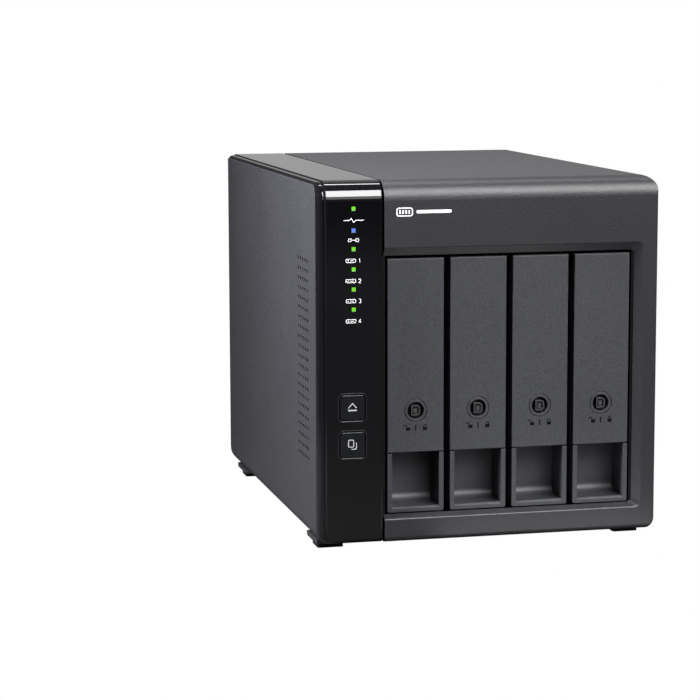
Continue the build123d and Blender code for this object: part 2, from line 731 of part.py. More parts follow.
def sata_connectors():
    """One drive connector per bay: a body with a long and a short blade slot."""
    bodies = []
    for number in range(TRAYS):
        x = tray_x(number) + 3.4
        body = block(x, x + 6.0, BACKPLANE_Y - 4.8, BACKPLANE_Y, 36.0, 74.0)
        body -= block(x + 1.6, x + 3.0, BACKPLANE_Y - 6, BACKPLANE_Y - 1.2, 38.5, 59.0)
        body -= block(x + 1.6, x + 3.0, BACKPLANE_Y - 6, BACKPLANE_Y - 1.2, 61.0, 71.5)
        bodies.append(body)
    return group(bodies)


# Standoffs of the main board, as (Y, Z)
STANDOFFS = ((28.0, 24.0), (28.0, 144.0), (58.0, 24.0), (58.0, 144.0))
STANDOFF_R = 2.6


def main_board():
    """Upright circuit board between the cage and the left panel."""
    board = block(MAIN_BOARD_X, MAIN_BOARD_X + BOARD_THICK, 20.0, 104.0, 18.0, 152.0)
    for y, z in STANDOFFS:
        board -= bar_x(y, z, 1.5, MAIN_BOARD_X - 1, MAIN_BOARD_X + 3)
    return board


def board_standoffs():
    """Spacers from the cage to the main board."""
    spacers = []
    for y, z in STANDOFFS:
        spacer = bar_x(y, z, STANDOFF_R, MAIN_BOARD_X + BOARD_THICK, CAGE_LEFT)
        spacers.append(spacer - bar_x(y, z, 1.2, MAIN_BOARD_X, CAGE_LEFT - 1.5))
    return group(spacers)


def board_screws():
    """Small pan-head screws of the main board and the indicator board."""
    screws = []
    for y, z in STANDOFFS:
        head = bar_x(y, z, 2.4, MAIN_BOARD_X - 1.6, MAIN_BOARD_X)
        screws.append(head + bar_x(y, z, 1.18, MAIN_BOARD_X - 0.5, MAIN_BOARD_X + 6))
    behind = BOARD_FRONT + BOARD_THICK
    for x, z in BOARD_SCREWS:
        head = bar_y(x, z, 1.9, behind, behind + 1.3)
        screws.append(head + bar_y(x, z, 0.88, BOARD_FRONT - 3.5, behind + 0.5))
    return group(screws)


def bridge_chip():
    """Square controller chip on the main board."""
    return block(MAIN_BOARD_X - 1.2, MAIN_BOARD_X, 38.0, 52.0, 84.0, 98.0)


def heat_sink():
    """Finned aluminium block on the controller chip."""
    back = MAIN_BOARD_X - 1.2
    sink = block(back - 2, back, 32.0, 58.0, 78.0, 104.0)
    fins = 7
    for fin in range(fins):
        y = 32.0 + fin * (26.0 - 1.4) / (fins - 1)
        sink += block(back - 9, back - 1, y, y + 1.4, 78.0, 104.0)
    return sink


# ---------------------------------------------------------------- ports and switches at the back


def usb_c_port():
    """Flat oval metal shell with a tongue inside, on edge."""
    x = MAIN_BOARD_X - 1.83
    front, mouth = REAR_FACE - 8.4, REAR_FACE - 0.2

    def oval(wide, tall):
        return Pos(x, USB_Z) * RectangleRounded(wide, tall, wide / 2 - 0.01)

    port = prism_y(oval(3.26, 8.94), front, mouth)
    port -= prism_y(oval(2.56, 8.24), front + 1.2, mouth + 1)
    return port + block(x - 0.35, x + 0.35, front + 1, mouth - 1, USB_Z - 3.35, USB_Z + 3.35)


def dc_jack():
    """Moulded socket for a barrel plug, with its centre pin."""
    x = MAIN_BOARD_X - 4.8
    half = 4.7
    body = block(x - half, x + half + 0.1, REAR_FACE - 14.0, REAR_INNER - 0.3, JACK_Z - 5.5, JACK_Z + 5.5)
    body += bar_y(x, JACK_Z, 4.2, REAR_INNER - 1, REAR_FACE + 0.3)
    body -= bar_y(x, JACK_Z, 3.1, REAR_FACE - 9.5, REAR_FACE + 1)
    return body + bar_y(x, JACK_Z, 1.1, REAR_FACE - 10, REAR_FACE - 1.0)


def dip_x(number):
    """Middle of a slider of the mode switch."""
    return IO_X + (number - (DIP_SLIDERS - 1) / 2) * DIP_PITCH


DIP_FACE = REAR_FACE - 0.3
DIP_FLOOR = DIP_FACE - 2.4
DIP_SLOT_HALF = 0.85
SLIDER_HALF = 0.5
SLIDER_TALL = 1.9
DIP_TRAVEL = 2.0
SLIDER_LOW = DIP_Z - (SLIDER_TALL + DIP_TRAVEL) / 2


def dip_switch_body():
    """Body of the mode switch, with one slot per slider."""
    body = block(IO_X - 5.0, IO_X + 5.0, REAR_FACE - 6.5, DIP_FACE, DIP_Z - 4.0, DIP_Z + 4.0)
    low, high = SLIDER_LOW - 0.35, SLIDER_LOW + SLIDER_TALL + DIP_TRAVEL + 0.35
    for number in range(DIP_SLIDERS):
        x = dip_x(number)
        body -= block(x - DIP_SLOT_HALF, x + DIP_SLOT_HALF, DIP_FLOOR, REAR_FACE, low, high)
    return body + block(IO_X + 4, MAIN_BOARD_X, REAR_FACE - 6.5, REAR_INNER - 0.4, DIP_Z - 3, DIP_Z + 3)


def dip_slider(number):
    """A small lever in the mode switch, at the low end of its slot."""
    x = dip_x(number)
    front, back = DIP_FLOOR + 0.35, REAR_FACE + 0.5
    return block(x - SLIDER_HALF, x + SLIDER_HALF, front, back, SLIDER_LOW, SLIDER_LOW + SLIDER_TALL)


def fan_holes():
    """Centres of the four fan screws."""
    half = FAN_HOLES / 2
    return [(FAN_X + dx, FAN_Z + dz) for dx in (-half, half) for dz in (-half, half)]


def rear_screw_spots():
    """Screw axes of the rear panel."""
    low = BASE + WALL
    spots = [
        lug_centre(RIGHT - WALL - LUG, TOP - WALL - LUG),
        lug_centre(RIGHT - WALL - LUG, low),
        lug_centre(-66.0, low),
        (LIP_RIGHT - 1 + LUG / 2, CARRIER_TOP - WALL - LUG / 2),
    ]
    return spots


def fan_grille():
    """Hexagonal air holes inside the fan's circle."""
    across, pitch, reach = 6.0, 7.3, 55.5
    row_step = pitch * sqrt(3) / 2
    rows = int(reach / row_step)
    cells = []
    for row in range(-rows, rows + 1):
        shift = pitch / 2 if row % 2 else 0
        count = int(reach / pitch) + 1
        for column in range(-count, count + 1):
            u, v = column * pitch + shift, row * row_step
            if hypot(u, v) + across / 2 < reach:
                cells.append(Pos(FAN_X + u, FAN_Z + v))
    hexagon = RegularPolygon(across / 2, 6, major_radius=False, rotation=30)
    return prism_y(Sketch() + [cell * hexagon for cell in cells], REAR_INNER - 1, REAR_FACE + 1)


def rear_panel():
    """Sheet-steel back with the fan grille, ports, switches and lock slot."""
    gap = 0.25
    left, right = LEFT + WALL + gap, RIGHT - WALL - gap
    low, high = REAR_LOW + gap, TOP - WALL - gap
    face = outline(
        (left, low, 0.6), (right, low, 0.6), (right, high, TOP_RIGHT_R - WALL), (left, high, 0.6)
    )
    panel = prism_y(face, REAR_INNER, REAR_FACE) - fan_grille()
    cuts = [bar_y(x, z, 2.2, REAR_INNER - 1, REAR_FACE + 1) for x, z in fan_holes()]
    cuts += [bar_y(x, z, 1.8, REAR_INNER - 1, REAR_FACE + 1) for x, z in rear_screw_spots()]
    cuts.append(bar_y(IO_X, POWER_Z, 4.9, REAR_INNER - 1, REAR_FACE + 1))
    cuts.append(bar_y(IO_X, SET_Z, 2.3, REAR_INNER - 1, REAR_FACE + 1))
    openings = [
        Pos(IO_X, DIP_Z) * Rectangle(10.6, 8.6),
        Pos(MAIN_BOARD_X - 1.83, USB_Z) * RectangleRounded(3.7, 9.4, 1.8),
        Pos(MAIN_BOARD_X - 4.8, JACK_Z) * Circle(4.5),
        Pos(IO_X, LOCK_SLOT_Z) * RectangleRounded(7.0, 3.0, 0.8),
    ]
    for row in range(4):
        openings.append(Pos(IO_X, 58.5 + row * 4.0) * SlotOverall(12.0, 1.8))
    cuts += [prism_y(opening, REAR_INNER - 1, REAR_FACE + 1) for opening in openings]
    return panel - combine(cuts)


def pan_screw(x, z, y, head_r, shank_r, length):
    """A pan-head screw driven forwards from the plane y, with a cross slot."""
    tall = 1.4
    head = bar_y(x, z, head_r, y, y + tall)
    head = fillet(edges_at(head, (x, y + tall, z + head_r)), 0.6)
    slot = 0.35
    for wide, high in ((head_r * 0.6, slot), (slot, head_r * 0.6)):
        head -= block(x - wide, x + wide, y + 0.5, y + tall + 1, z - high, z + high)
    return head + bar_y(x, z, shank_r, y - length, y + 0.2)


def rear_screws():
    """Screws of the rear panel."""
    return group([pan_screw(x, z, REAR_FACE, 2.9, SCREW_R - 0.04, 8.0) for x, z in rear_screw_spots()])


def fan_screws():
    """Screws that hold the fan to the rear panel."""
    return group([pan_screw(x, z, REAR_FACE, 3.6, 2.06, 10.0) for x, z in fan_holes()])


def fan_frame():
    """Square fan housing with a bearing tube on four struts."""
    centre = Pos(FAN_X, FAN_Z)
    frame = prism_y(centre * RectangleRounded(FAN_SIZE, FAN_SIZE, 6.0), FAN_FRONT, REAR_INNER)
    frame -= bar_y(FAN_X, FAN_Z, FAN_BORE_R, FAN_FRONT - 1, REAR_INNER + 1)
    for x, z in fan_holes():
        frame -= bar_y(x, z, 2.1, FAN_FRONT - 1, REAR_INNER + 1)
    strut_front = REAR_INNER - 3.0
    hub = bar_y(FAN_X, FAN_Z, HUB_R, strut_front, REAR_INNER)
    for angle in range(0, 360, 90):
        strut = block(HUB_R - 1, FAN_BORE_R + 1, strut_front, REAR_INNER, -2.0, 2.0)
        hub += Pos(FAN_X, 0, FAN_Z) * Rot(0, angle + 30, 0) * strut
    hub += bar_y(FAN_X, FAN_Z, 4.5, FAN_FRONT + 6, strut_front)
    hub -= bar_y(FAN_X, FAN_Z, SHAFT_R + 0.05, FAN_FRONT, REAR_INNER - 1.0)
    return frame + hub


def fan_impeller():
    """Hub cup with its shaft and seven swept blades."""
    front, back = FAN_FRONT + 1.2, REAR_INNER - 4.0
    cup = bar_y(FAN_X, FAN_Z, HUB_R, front, back)
    cup -= bar_y(FAN_X, FAN_Z, HUB_R - 1.6, front + 1.6, back + 1)
    cup += bar_y(FAN_X, FAN_Z, SHAFT_R, front + 1, REAR_INNER - 1.4)
    reach = Pos(0, (front + back) / 2, 0) * Rot(90, 0, 0) * Cylinder(BLADE_TIP_R, back - front - 0.6)
    for step in range(BLADES):
        blade = fan_blade((front + back) / 2) & reach
        cup += Pos(FAN_X, 0, FAN_Z) * Rot(0, step * 360 / BLADES, 0) * blade
    return cup


def fan_blade(middle):
    """One blade along X, steeper at its root than at its tip."""
    sections = []
    for radius, chord, pitch in ((HUB_R - 1.0, 20.0, 48.0), (BLADE_TIP_R + 2, 30.0, 24.0)):
        plane = Plane(origin=(radius, middle, 0), x_dir=(0, 0, 1), z_dir=(1, 0, 0))
        sections.append(plane * Rot(0, 0, pitch) * RectangleRounded(chord, 1.5, 0.6))
    return loft(sections)


# ---------------------------------------------------------------- feet


def foot_spots():
    """Centres of the four feet."""
    return [(x, y) for y in (FOOT_FRONT_Y, FOOT_BACK_Y) for x in (-FOOT_X, FOOT_X)]


def foot_plinths():
    """Shallow plinths under the base that carry the pads."""
    plinths = []
    for x, y in foot_spots():
        back = 14.0
        plinth = block(x - 6.8, x + 6.8, y - 7.6, y + back, PAD_HEIGHT, BASE)
        plinths.append(chamfer(edges_at(plinth, (x, y + back, PAD_HEIGHT)), 0.8))
    return group(plinths)


def rubber_feet():
    """Square rubber pads that touch the desk."""
    pads = []
    for x, y in foot_spots():
        pad = Pos(x, y, PAD_HEIGHT / 2) * Box(PAD_SIZE, PAD_SIZE, PAD_HEIGHT)
        pad = fillet(pad.edges().filter_by(Axis.Z), 1.0)
        pads.append(pad)
    return group(pads)


# ---------------------------------------------------------------- the assembly


def all_parts():
    """Every node's name and shape."""
    parts = {
        "main_shell": main_shell(),
        "left_side_panel": left_side_panel(),
        "gloss_strip": gloss_strip(),
        "bezel_frame": bezel_frame(),
        "eject_button": front_button(EJECT_Z),
        "copy_button": front_button(COPY_Z),
        "indicator_board": indicator_board(),
        "lens_green": lenses([z for i, z in enumerate(LENS_Z) if i != LINK_LENS]),
        "lens_blue": lenses([LENS_Z[LINK_LENS]]),
        "led_chips": led_chips(),
        "tact_switches": tact_switches(),
        "cage_sides": group([cage_side(x) for x in (CAGE_LEFT, CAGE_RIGHT - CAGE_SHEET)]),
        "cage_plates": group([cage_plate(z) for z in (CAGE_LOW, CAGE_TOP - CAGE_SHEET)]),
        "guide_rails": guide_rails(),
        "backplane_board": backplane_board(),
        "sata_connectors": sata_connectors(),
        "main_board": main_board(),
        "board_standoffs": board_standoffs(),
        "board_screws": board_screws(),
        "bridge_chip": bridge_chip(),
        "heat_sink": heat_sink(),
        "usb_c_port": usb_c_port(),
        "dc_jack": dc_jack(),
        "dip_switch_body": dip_switch_body(),
        "power_button": back_button(POWER_Z, 4.5, 1.0),
        "set_button": back_button(SET_Z, 1.9, 0.2),
        "rear_panel": rear_panel(),
        "rear_screws": rear_screws(),
        "fan_screws": fan_screws(),
        "fan_frame": fan_frame(),
        "fan_impeller": fan_impeller(),
        "foot_plinths": foot_plinths(),
        "rubber_feet": rubber_feet(),
    }
    for number in range(DIP_SLIDERS):
        parts[f"dip_slider_{number + 1}"] = dip_slider(number)
    for number in range(TRAYS):
        parts[f"tray_front_{number + 1}"] = tray_front(number)
        parts[f"tray_carrier_{number + 1}"] = tray_carrier(number)
        parts[f"tray_handle_{number + 1}"] = tray_handle(number)
        parts[f"handle_pin_{number + 1}"] = handle_pin(number)
        parts[f"lock_ring_{number + 1}"] = lock_ring(number)
        parts[f"lock_core_{number + 1}"] = lock_core(number)
    return parts


os.makedirs("parts", exist_ok=True)
for name, shape in all_parts().items():
    export_step(shape, f"parts/{name}.step")
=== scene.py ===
import json
from math import cos, pi, radians, sin

import bmesh
import bpy
from mathutils import Euler, Matrix, Vector


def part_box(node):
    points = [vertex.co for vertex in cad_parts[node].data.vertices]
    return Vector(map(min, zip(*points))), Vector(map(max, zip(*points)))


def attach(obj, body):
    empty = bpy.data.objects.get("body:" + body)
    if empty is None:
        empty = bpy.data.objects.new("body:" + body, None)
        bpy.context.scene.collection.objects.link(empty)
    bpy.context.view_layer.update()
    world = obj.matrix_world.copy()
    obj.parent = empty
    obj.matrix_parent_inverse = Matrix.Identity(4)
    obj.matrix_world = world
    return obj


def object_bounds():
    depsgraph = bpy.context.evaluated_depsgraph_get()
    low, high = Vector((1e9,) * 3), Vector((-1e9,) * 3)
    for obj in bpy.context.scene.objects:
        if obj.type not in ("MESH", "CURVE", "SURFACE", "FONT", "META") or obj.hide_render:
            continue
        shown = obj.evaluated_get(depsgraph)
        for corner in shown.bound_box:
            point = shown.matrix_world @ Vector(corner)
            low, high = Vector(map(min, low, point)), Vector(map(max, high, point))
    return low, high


# The looks of a desktop enclosure for four drives: finishes, printed marks, small fittings, studio.
# The frame and the studio are in metres. Marks and fittings are drawn in millimetres and turned into
# metres by MM, and their places are worked out from the boxes of the CAD nodes.

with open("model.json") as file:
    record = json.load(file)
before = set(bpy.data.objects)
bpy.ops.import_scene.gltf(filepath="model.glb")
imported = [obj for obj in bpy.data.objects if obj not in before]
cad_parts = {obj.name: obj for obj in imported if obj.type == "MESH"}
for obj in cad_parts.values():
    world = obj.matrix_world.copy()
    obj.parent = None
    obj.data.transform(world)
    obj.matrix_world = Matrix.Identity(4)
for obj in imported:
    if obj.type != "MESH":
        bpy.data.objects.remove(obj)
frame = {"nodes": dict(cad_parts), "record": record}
cad_low, cad_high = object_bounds()

MM = 0.001
BAYS = (1, 2, 3, 4)
PRINT = 0.02 * MM           # how far printed marks stand proud
SUNK = 0.03 * MM            # how far they reach into the surface under them
LENS_SUNK = 0.02 * MM       # how far the lamps lie under the face of the strip
LAND_SUNK = 0.06 * MM       # depth of the shallow land for the mark above the bays
EMBLEM_FACE = cad_low[1] + LAND_SUNK


# ---------------------------------------------------------------- node materials


class Finish:
    """A procedural material under construction: a Principled shader and what feeds it."""

    def __init__(self, name):
        self.material = bpy.data.materials.new(name)
        self.material.use_nodes = True
        self.tree = self.material.node_tree
        self.shader = self.tree.nodes["Principled BSDF"]
        self.place = self.node("ShaderNodeTexCoord").outputs["Object"]

    def node(self, kind, **settings):
        made = self.tree.nodes.new(kind)
        for key, value in settings.items():
            setattr(made, key, value)
        return made

    def link(self, source, target):
        self.tree.links.new(source, target)

    def set(self, **values):
        """Plain values on the shader's own sockets; underscores stand for spaces."""
        for key, value in values.items():
            self.shader.inputs[key.replace("_", " ")].default_value = value

    def noise(self, grain, detail=2.0, stretch=(1, 1, 1)):
        """Noise whose features are about `grain` metres across."""
        mapping = self.node("ShaderNodeMapping")
        mapping.inputs["Scale"].default_value = [1 / (grain * s) for s in stretch]
        self.link(self.place, mapping.inputs["Vector"])
        noise = self.node("ShaderNodeTexNoise")
        noise.inputs["Scale"].default_value = 1.0
        noise.inputs["Detail"].default_value = detail
        self.link(mapping.outputs["Vector"], noise.inputs["Vector"])
        return noise.outputs["Fac"]

    def ranged(self, value, to, source=(0.3, 0.7)):
        """The value mapped from one range to another."""
        mapped = self.node("ShaderNodeMapRange")
        for index, number in enumerate((*source, *to), start=1):
            mapped.inputs[index].default_value = number
        self.link(value, mapped.inputs[0])
        return mapped.outputs[0]

    def mixed(self, share, first, second):
        """A colour between two, which are colours or sockets."""
        mix = self.node("ShaderNodeMix", data_type="RGBA")
        self.link(share, mix.inputs["Factor"])
        for socket, value in ((mix.inputs[6], first), (mix.inputs[7], second)):
            if isinstance(value, tuple):
                socket.default_value = (*value, 1)
            else:
                self.link(value, socket)
        return mix.outputs[2]

    def speckled(self, tone, spread, grain, broad=0.04):
        """Base colour that varies finely at one grain and faintly over the whole piece."""
        dark = tuple(c * (1 - spread) for c in tone)
        light = tuple(c * (1 + spread) for c in tone)
        specks = self.noise(grain, detail=3.0)
        fine = self.mixed(self.ranged(specks, (0, 1)), dark, light)
        patches = self.noise(45 * MM, detail=1.0)
        shade = self.ranged(patches, (1 - broad, 1 + broad))
        scale = self.node("ShaderNodeVectorMath", operation="SCALE")
        self.link(fine, scale.inputs[0])
        self.link(shade, scale.inputs["Scale"])
        self.link(scale.outputs[0], self.shader.inputs["Base Color"])

    def rough(self, low, high, grain):
        """Roughness that wanders between two values."""
        self.link(self.ranged(self.noise(grain), (low, high)), self.shader.inputs["Roughness"])

    def bumped(self, height, depth, eased=0.0):
        """A fine relief, `depth` metres from trough to crest, over edges eased to a small radius."""
        bump = self.node("ShaderNodeBump")
        bump.inputs["Distance"].default_value = depth
        self.link(height, bump.inputs["Height"])
        if eased:
            bevel = self.node("ShaderNodeBevel", samples=6)
            bevel.inputs["Radius"].default_value = eased
            self.link(bevel.outputs["Normal"], bump.inputs["Normal"])
        self.link(bump.outputs["Normal"], self.shader.inputs["Normal"])


def textured_plastic(name, tone, roughness, relief=0.06 * MM, eased=0.3 * MM):
    """Moulded plastic with the fine spark-eroded grain of equipment cases."""
    grain = 0.75 * MM
    finish = Finish(name)
    finish.speckled(tone, spread=0.25, grain=grain)
    finish.rough(*roughness, grain=grain * 2)
    finish.bumped(finish.noise(grain, detail=4.0), relief, eased)
    return finish.material


def gloss_plastic(name, tone, roughness=(0.02, 0.045)):
    """Piano-black plastic: nearly a mirror, with the faint waviness of a moulded sheet."""
    finish = Finish(name)
    finish.speckled(tone, spread=0.06, grain=6 * MM)
    finish.rough(*roughness, grain=12 * MM)
    finish.bumped(finish.noise(14 * MM, detail=1.0), depth=0.004 * MM, eased=0.25 * MM)
    finish.set(Specular_IOR_Level=0.9)
    return finish.material


def satin_plastic(name, tone, roughness=(0.32, 0.45), level=0.4):
    """Smooth moulded plastic with slight flow marks."""
    finish = Finish(name)
    finish.speckled(tone, spread=0.1, grain=1.2 * MM, broad=0.08)
    finish.rough(*roughness, grain=3 * MM)
    finish.bumped(finish.noise(0.9 * MM, detail=3.0), depth=0.008 * MM, eased=0.2 * MM)
    finish.set(Specular_IOR_Level=level)
    return finish.material


def lamp_plastic(name, tone, glow):
    """Frosted light pipe lit from behind, slightly uneven."""
    finish = Finish(name)
    unlit = tuple(c * 0.1 for c in tone)
    bright = tuple(min(1.0, c * 1.25 + 0.04) for c in tone)
    finish.speckled(unlit, spread=0.1, grain=0.8 * MM)
    finish.rough(0.2, 0.3, grain=1 * MM)
    colour = finish.mixed(finish.ranged(finish.noise(1.1 * MM), (0, 1)), tone, bright)
    finish.link(colour, finish.shader.inputs["Emission Color"])
    finish.set(Emission_Strength=glow)
    return finish.material


def printed_ink(name, tone, level=0.3):
    """Screen-printed ink, slightly uneven."""
    finish = Finish(name)
    finish.speckled(tone, spread=0.05, grain=0.25 * MM, broad=0.03)
    finish.rough(0.45, 0.6, grain=0.4 * MM)
    finish.set(Specular_IOR_Level=level)
    return finish.material


def metal(name, tone, roughness, brushed=(1, 1, 1)):
    """Bare or plated metal; `brushed` stretches the marks of its making along an axis."""
    finish = Finish(name)
    finish.speckled(tone, spread=0.08, grain=2 * MM)
    marks = finish.noise(0.3 * MM, detail=4.0, stretch=brushed)
    finish.link(finish.ranged(marks, roughness), finish.shader.inputs["Roughness"])
    finish.bumped(marks, depth=0.004 * MM)
    finish.set(Metallic=1.0)
    return finish.material


def coated_steel(name, tone, roughness=(0.42, 0.55), level=0.45):
    """Sheet steel under a fine wrinkled powder coat."""
    finish = Finish(name)
    finish.speckled(tone, spread=0.14, grain=0.5 * MM)
    finish.rough(*roughness, grain=1.5 * MM)
    finish.bumped(finish.noise(0.6 * MM), depth=0.03 * MM)
    finish.set(Specular_IOR_Level=level)
    return finish.material


def board_laminate(name, tone):
    """Green solder resist over the faint weave of the laminate and its copper fills."""
    finish = Finish(name)
    copper = finish.ranged(finish.noise(5 * MM, detail=0.0), to=(0, 1), source=(0.48, 0.5))
    lighter = tuple(c * 1.5 + 0.004 for c in tone)
    finish.link(finish.mixed(copper, tone, lighter), finish.shader.inputs["Base Color"])
    finish.rough(0.22, 0.35, grain=2 * MM)
    weave = finish.noise(0.5 * MM, detail=1.0, stretch=(1, 4, 1))
    finish.bumped(weave, depth=0.006 * MM)
    return finish.material


def rubber(name, tone):
    """Dull soft rubber."""
    finish = Finish(name)
    finish.speckled(tone, spread=0.15, grain=0.7 * MM)
    finish.rough(0.75, 0.9, grain=1 * MM)
    finish.bumped(finish.noise(0.5 * MM, detail=3.0), depth=0.02 * MM)
    finish.set(Specular_IOR_Level=0.3)
    return finish.material


# One finish for each material slot of the record, and those of the pieces that are added here.
# The numbers are the base colour and the lowest and highest roughness.
FINISHES = {
    "case_textured": textured_plastic(
        "case_textured", (0.0188, 0.0190, 0.0218), (0.35, 0.41), relief=0.08 * MM, eased=0
    ),
    "tray_textured": textured_plastic("tray_textured", (0.0324, 0.0334, 0.0386), (0.44, 0.5)),
    "carrier_plastic": satin_plastic("carrier_plastic", (0.010, 0.010, 0.011)),
    "gloss_black": gloss_plastic("gloss_black", (0.0024, 0.0023, 0.0030)),
    "gloss_button": gloss_plastic("gloss_button", (0.0052, 0.0058, 0.0078), (0.04, 0.07)),
    "black_inner": satin_plastic("black_inner", (0.001, 0.001, 0.0012), (0.5, 0.6), level=0.15),
    # The cores of the locks get a tone darker than their plastic: painted shade for the deep well in each
    # lock.
    "lock_plastic": satin_plastic("lock_plastic", (0.003, 0.003, 0.0034)),
    "post_plastic": satin_plastic("post_plastic", (0.045, 0.045, 0.05)),
    "circuit_board": board_laminate("circuit_board", (0.004, 0.045, 0.02)),
    "lamp_green": lamp_plastic("lamp_green", (0.16, 0.74, 0.012), glow=0.8),
    "lamp_blue": lamp_plastic("lamp_blue", (0.10, 0.22, 1.0), glow=0.9),
    "chip_white": satin_plastic("chip_white", (0.75, 0.72, 0.5)),
    "chip_black": satin_plastic("chip_black", (0.006, 0.006, 0.007)),
    "switch_black": satin_plastic("switch_black", (0.01, 0.01, 0.01)),
    "connector_black": satin_plastic("connector_black", (0.006, 0.006, 0.006)),
    "cage_steel": coated_steel("cage_steel", (0.0015, 0.0015, 0.0016), (0.5, 0.6), level=0.15),
    "rear_steel": coated_steel("rear_steel", (0.020, 0.020, 0.021)),
    "port_steel": metal("port_steel", (0.6, 0.6, 0.6), (0.2, 0.35)),
    "screw_steel": metal("screw_steel", (0.62, 0.62, 0.6), (0.22, 0.35)),
    "screw_black": coated_steel("screw_black", (0.01, 0.01, 0.01), (0.3, 0.4)),
    "brass_fittings": metal("brass_fittings", (0.7, 0.5, 0.2), (0.2, 0.3)),
    "heat_sink_aluminium": metal(
        "heat_sink_aluminium", (0.72, 0.73, 0.75), (0.3, 0.42), brushed=(1, 1, 12)
    ),
    "dip_body": satin_plastic("dip_body", (0.008, 0.02, 0.08)),
    "dip_lever": satin_plastic("dip_lever", (0.62, 0.62, 0.58)),
    "rear_button": satin_plastic("rear_button", (0.012, 0.012, 0.013)),
    "fan_plastic": satin_plastic("fan_plastic", (0.005, 0.005, 0.0052)),
    "print_white": printed_ink("print_white", (0.72, 0.72, 0.74)),
    "print_silver": printed_ink("print_silver", (0.36, 0.36, 0.38)),
    "print_navy": printed_ink("print_navy", (0.0028, 0.003, 0.0055), level=0.08),
    "bead_gloss": gloss_plastic("bead_gloss", (0.012, 0.012, 0.013), (0.12, 0.2)),
    "contact_gold": metal("contact_gold", (0.83, 0.6, 0.26), (0.18, 0.26)),
    "can_aluminium": metal("can_aluminium", (0.7, 0.71, 0.73), (0.25, 0.35)),
    "label_foil": metal("label_foil", (0.55, 0.56, 0.58), (0.35, 0.45)),
    "fan_blades": satin_plastic("fan_blades", (0.006, 0.006, 0.0062)),
    "foot_rubber": rubber("foot_rubber", (0.008, 0.008, 0.008)),
}


def finish_nodes():
    """Gives every CAD node the finish of its slot."""
    for row in frame["record"]["subparts"]:
        piece = frame["nodes"][row["node"]]
        piece.data.materials.clear()
        piece.data.materials.append(FINISHES[row["material_slot"]])


finish_nodes()


# ---------------------------------------------------------------- printed marks


def arc(x, z, radius, start, end, steps=16):
    """Points along an arc, in millimetres and degrees."""
    turns = [radians(start + (end - start) * step / steps) for step in range(steps + 1)]
    return [(x + radius * cos(turn), z + radius * sin(turn)) for turn in turns]


def rounded(x0, x1, z0, z1, radius, steps=5):
    """Points around a rounded rectangle."""
    corners = ((x1, z1, 0), (x0, z1, 90), (x0, z0, 180), (x1, z0, 270))
    points = []
    for x, z, start in corners:
        cx = x - radius if x == x1 else x + radius
        cz = z - radius if z == z1 else z + radius
        points += arc(cx, cz, radius, start, start + 90, steps)
    return points


def as_piece(name, mesh, body, finish):
    """Turns a finished bmesh into a piece that rides on a body."""
    bmesh.ops.recalc_face_normals(mesh, faces=mesh.faces)
    data = bpy.data.meshes.new(name)
    mesh.to_mesh(data)
    mesh.free()
    piece = bpy.data.objects.new(name, data)
    bpy.context.scene.collection.objects.link(piece)
    data.materials.append(FINISHES[finish])
    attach(piece, body)
    return piece


class Artwork:
    """Flat artwork drawn in X and Z, in millimetres, on a face that looks forwards or backwards."""

    def __init__(self, surface, facing=-1):
        self.mesh = bmesh.new()
        self.front = surface + facing * PRINT
        self.back = surface - facing * SUNK

    def loops(self, points):
        """The points as two rows of vertices, on the printed face and under it."""
        levels = (self.front, self.back)
        return [[self.mesh.verts.new((x * MM, y, z * MM)) for x, z in points] for y in levels]

    def fill(self, points):
        """A filled outline."""
        front, back = self.loops(points)
        self.mesh.faces.new(front)
        for index in range(len(points)):
            after = (index + 1) % len(points)
            self.mesh.faces.new((front[index], front[after], back[after], back[index]))

    def bar(self, x0, x1, z0, z1, radius=0.12):
        """A filled bar with slightly rounded corners."""
        self.fill(rounded(x0, x1, z0, z1, radius, 3))

    def dot(self, x, z, radius):
        """A filled disc."""
        self.fill(arc(x, z, radius, 0, 345, 23))

    def line(self, points, width, closed=False):
        """A ribbon of the given width along a path, with mitred corners."""
        count = len(points)
        sharpest = 0.5      # keeps the mitre of a sharp corner short
        sides = ([], [])
        for index, (x, z) in enumerate(points):
            before = points[index - 1] if closed or index else None
            after = points[(index + 1) % count] if closed or index < count - 1 else None
            heading = Vector((0.0, 0.0))
            for first, last in ((before, (x, z)), ((x, z), after)):
                if first and last:
                    heading += (Vector(last) - Vector(first)).normalized()
            heading.normalize()
            reference = (Vector(after) - Vector((x, z))) if after else (Vector((x, z)) - Vector(before))
            reach = width / 2 / max(sharpest, heading.dot(reference.normalized()))
            sides[0].append((x - heading.y * reach, z + heading.x * reach))
            sides[1].append((x + heading.y * reach, z - heading.x * reach))
        left_front, left_back = self.loops(sides[0])
        right_front, right_back = self.loops(sides[1])
        for index in range(count if closed else count - 1):
            after = (index + 1) % count
            quads = (
                (left_front[index], right_front[index], right_front[after], left_front[after]),
                (left_front[index], left_front[after], left_back[after], left_back[index]),
                (right_front[index], right_back[index], right_back[after], right_front[after]),
            )
            for quad in quads:
                self.mesh.faces.new(quad)

    def numeral(self, digit, x, z, tall, width=0.3):
        """One of the numerals 1 to 4, centred on x with its foot at z."""
        half = tall * 0.28
        top = z + tall
        bow = tall * 0.25
        stem = x + half * 0.5
        crossbar = z + tall * 0.3
        strokes = {
            1: [[(x - half * 0.8, top - tall * 0.22), (x, top), (x, z)]],
            2: [arc(x, top - half, half, 160, -25, 8) + [(x - half, z), (x + half, z)]],
            3: [arc(x, top - bow, bow, 150, -80, 8), arc(x, z + bow, bow, 80, -150, 8)],
            4: [[(stem, z), (stem, top), (x - half, crossbar), (x + half * 1.2, crossbar)]],
        }
        for stroke in strokes[digit]:
            self.line(stroke, width)

    def piece(self, name, body, finish):
        """Turns the artwork into a piece on a body."""
        as_piece(name, self.mesh, body, finish)


